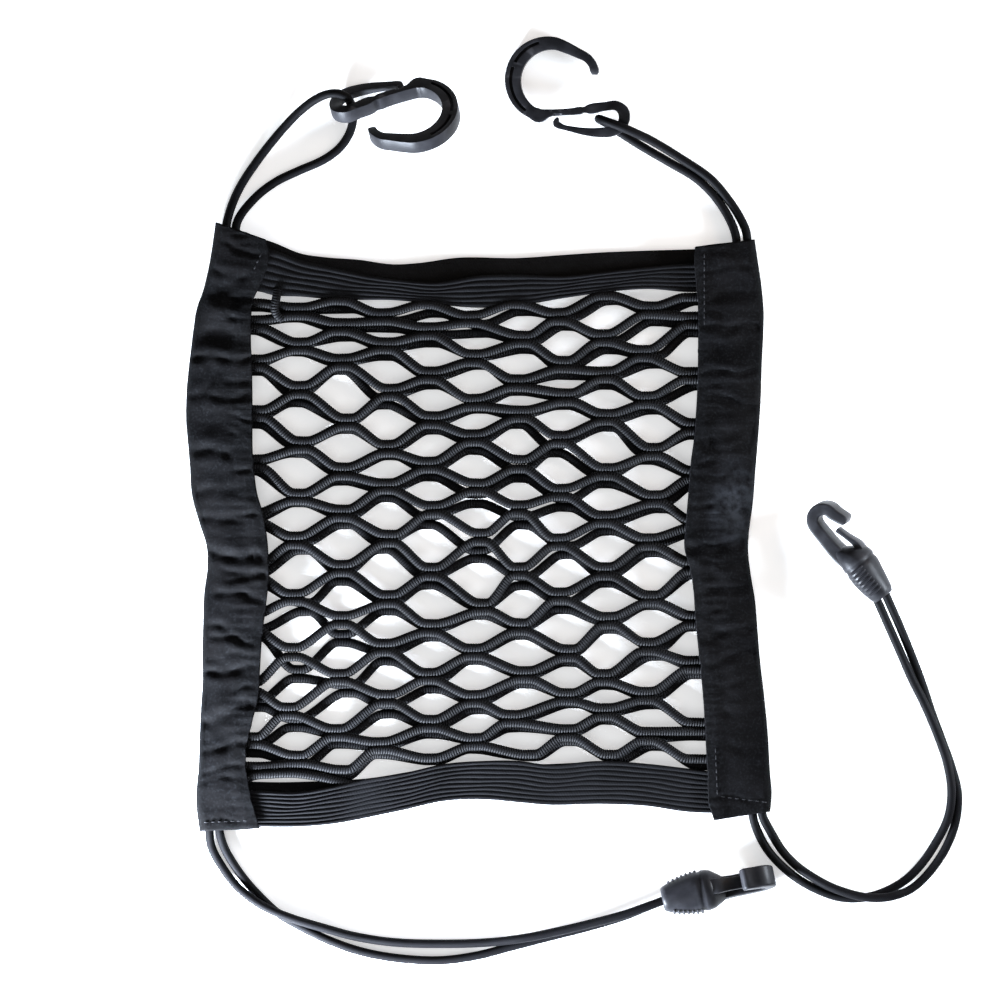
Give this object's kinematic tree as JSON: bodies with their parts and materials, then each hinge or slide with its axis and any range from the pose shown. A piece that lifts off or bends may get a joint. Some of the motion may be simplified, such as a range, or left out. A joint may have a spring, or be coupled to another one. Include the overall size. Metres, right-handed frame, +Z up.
{
  "type": "car seat storage net",
  "caption": "Black elastic storage net with folded cloth sides, ribbed elastic top and bottom, and bungee cords ending in plastic hooks, lying flat.",
  "frame": {"origin": "centre of the net with its bands, on the surface that it lies on", "axes": "+X to the right across the net, +Y towards its upper edge, +Z up from the surface"},
  "size_m": [0.3881, 0.4637, 0.0362],
  "materials": {
    "net_cord": "ribbed elastic cord, matte",
    "band_cloth": "woven, matte",
    "elastic": "ribbed, matte",
    "bungee_cord": "braided, soft sheen",
    "hook_plastic": "moulded, satin"
  },
  "bodies": {
    "root": {"net_front": "net_cord", "net_back": "net_cord", "side_band_left": "band_cloth", "side_band_right": "band_cloth", "elastic_top_front": "elastic", "elastic_top_back": "elastic", "elastic_bottom_front": "elastic", "elastic_bottom_back": "elastic", "bungee_upper_left": "bungee_cord", "bungee_upper_right": "bungee_cord", "bungee_lower_left_a": "bungee_cord", "bungee_lower_left_b": "bungee_cord", "bungee_lower_right_a": "bungee_cord", "bungee_lower_right_b": "bungee_cord", "hook_upper_left": "hook_plastic", "hook_upper_right": "hook_plastic", "hook_lower_left": "hook_plastic", "hook_lower_right": "hook_plastic"}
  },
  "joints": []
}
